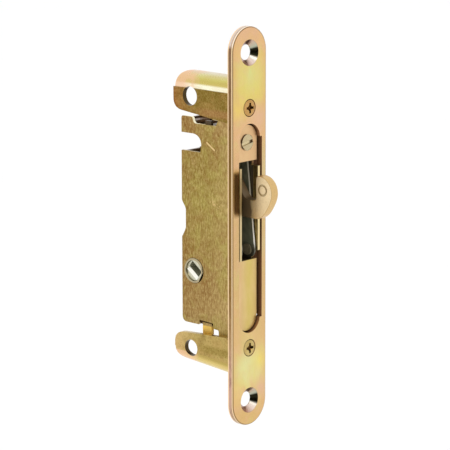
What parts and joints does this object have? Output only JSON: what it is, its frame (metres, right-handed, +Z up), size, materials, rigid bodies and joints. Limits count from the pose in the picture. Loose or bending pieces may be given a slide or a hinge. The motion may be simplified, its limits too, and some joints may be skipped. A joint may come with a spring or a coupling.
{
  "type": "sliding patio door hook mortise lock with adapter faceplate",
  "caption": "Slim sheet-steel mortise lock on a long round-ended faceplate, with a hook that swings out through a slot, a keyed hub in the side and two bolt ears behind the plate.",
  "frame": {"origin": "centre of the adapter plate's back plane, midway between its two mounting holes", "axes": "+Z up along the plate, +Y into the door's edge, +X across the plate to the side away from the bolt ears"},
  "size_m": [0.0168, 0.0387, 0.1366],
  "materials": {
    "yellow_plating": "bright iridescent yellow zinc plating on steel",
    "case_plating": "duller mottled yellow zinc plating on sheet steel",
    "hook_steel": "satin champagne-gold plated steel",
    "hub_zinc": "bare bright zinc alloy",
    "inner_steel": "plain grey steel"
  },
  "bodies": {
    "frame": {"adapter_plate": "yellow_plating", "upper_bracket": "yellow_plating", "lower_bracket": "yellow_plating", "upper_face_screw": "yellow_plating", "lower_face_screw": "yellow_plating", "left_case_shell": "case_plating", "right_case_shell": "case_plating", "upper_case_post": "inner_steel", "middle_case_post": "inner_steel", "rear_case_post": "inner_steel", "lower_case_post": "inner_steel", "left_carriage_pivot": "inner_steel", "right_carriage_pivot": "inner_steel", "left_upper_guide_stud": "inner_steel", "left_lower_guide_stud": "inner_steel", "right_upper_guide_stud": "inner_steel", "right_lower_guide_stud": "inner_steel", "left_hub_bush": "hub_zinc", "right_hub_bush": "hub_zinc", "hub_detent_spring": "inner_steel"},
    "adjuster": {"adjusting_screw": "yellow_plating", "adjuster_clip": "inner_steel"},
    "carriage": {"left_cheek": "inner_steel", "right_cheek": "inner_steel", "adjuster_nut": "inner_steel", "carriage_spacer": "inner_steel", "hook_pivot_pin": "inner_steel", "left_hook_washer": "inner_steel", "right_hook_washer": "inner_steel"},
    "hook": {"hook": "hook_steel", "hook_drive_pin": "inner_steel"},
    "drive_bar": {"left_drive_bar": "inner_steel", "right_drive_bar": "inner_steel", "drive_bar_foot_pin": "inner_steel"},
    "hub": {"hub": "hub_zinc", "hub_lever": "inner_steel", "hub_drive_pin": "inner_steel"}
  },
  "joints": [
    {"name": "hub_turn", "type": "hinge", "parent": "frame", "child": "hub", "pos_m": [0, 0.0188, -0.0166], "axis": [1, 0, 0], "range_deg": [-90, 0]},
    {"name": "drive_bar_slide", "type": "slide", "parent": "frame", "child": "drive_bar", "axis": [0, 0, 1], "range_m": [0, 0.01133]},
    {"name": "adjuster_turn", "type": "hinge", "parent": "frame", "child": "adjuster", "pos_m": [0, 0, 0.0294], "axis": [0, 1, 0], "range_deg": [-720, 720]},
    {"name": "carriage_tilt", "type": "hinge", "parent": "frame", "child": "carriage", "pos_m": [0, 0.0012, -0.0077], "axis": [1, 0, 0], "range_deg": [-2, 2]},
    {"name": "hook_swing", "type": "hinge", "parent": "carriage", "child": "hook", "pos_m": [0, 0.005, 0.01], "axis": [1, 0, 0], "range_deg": [0, 108]}
  ],
  "couplings": [
    {"joint": "hook_swing", "follows": "hub_turn", "ratio": -1.2},
    {"joint": "drive_bar_slide", "follows": "hub_turn", "m_per_rad": -0.0072105},
    {"joint": "adjuster_turn", "follows": "carriage_tilt", "ratio": 360}
  ]
}
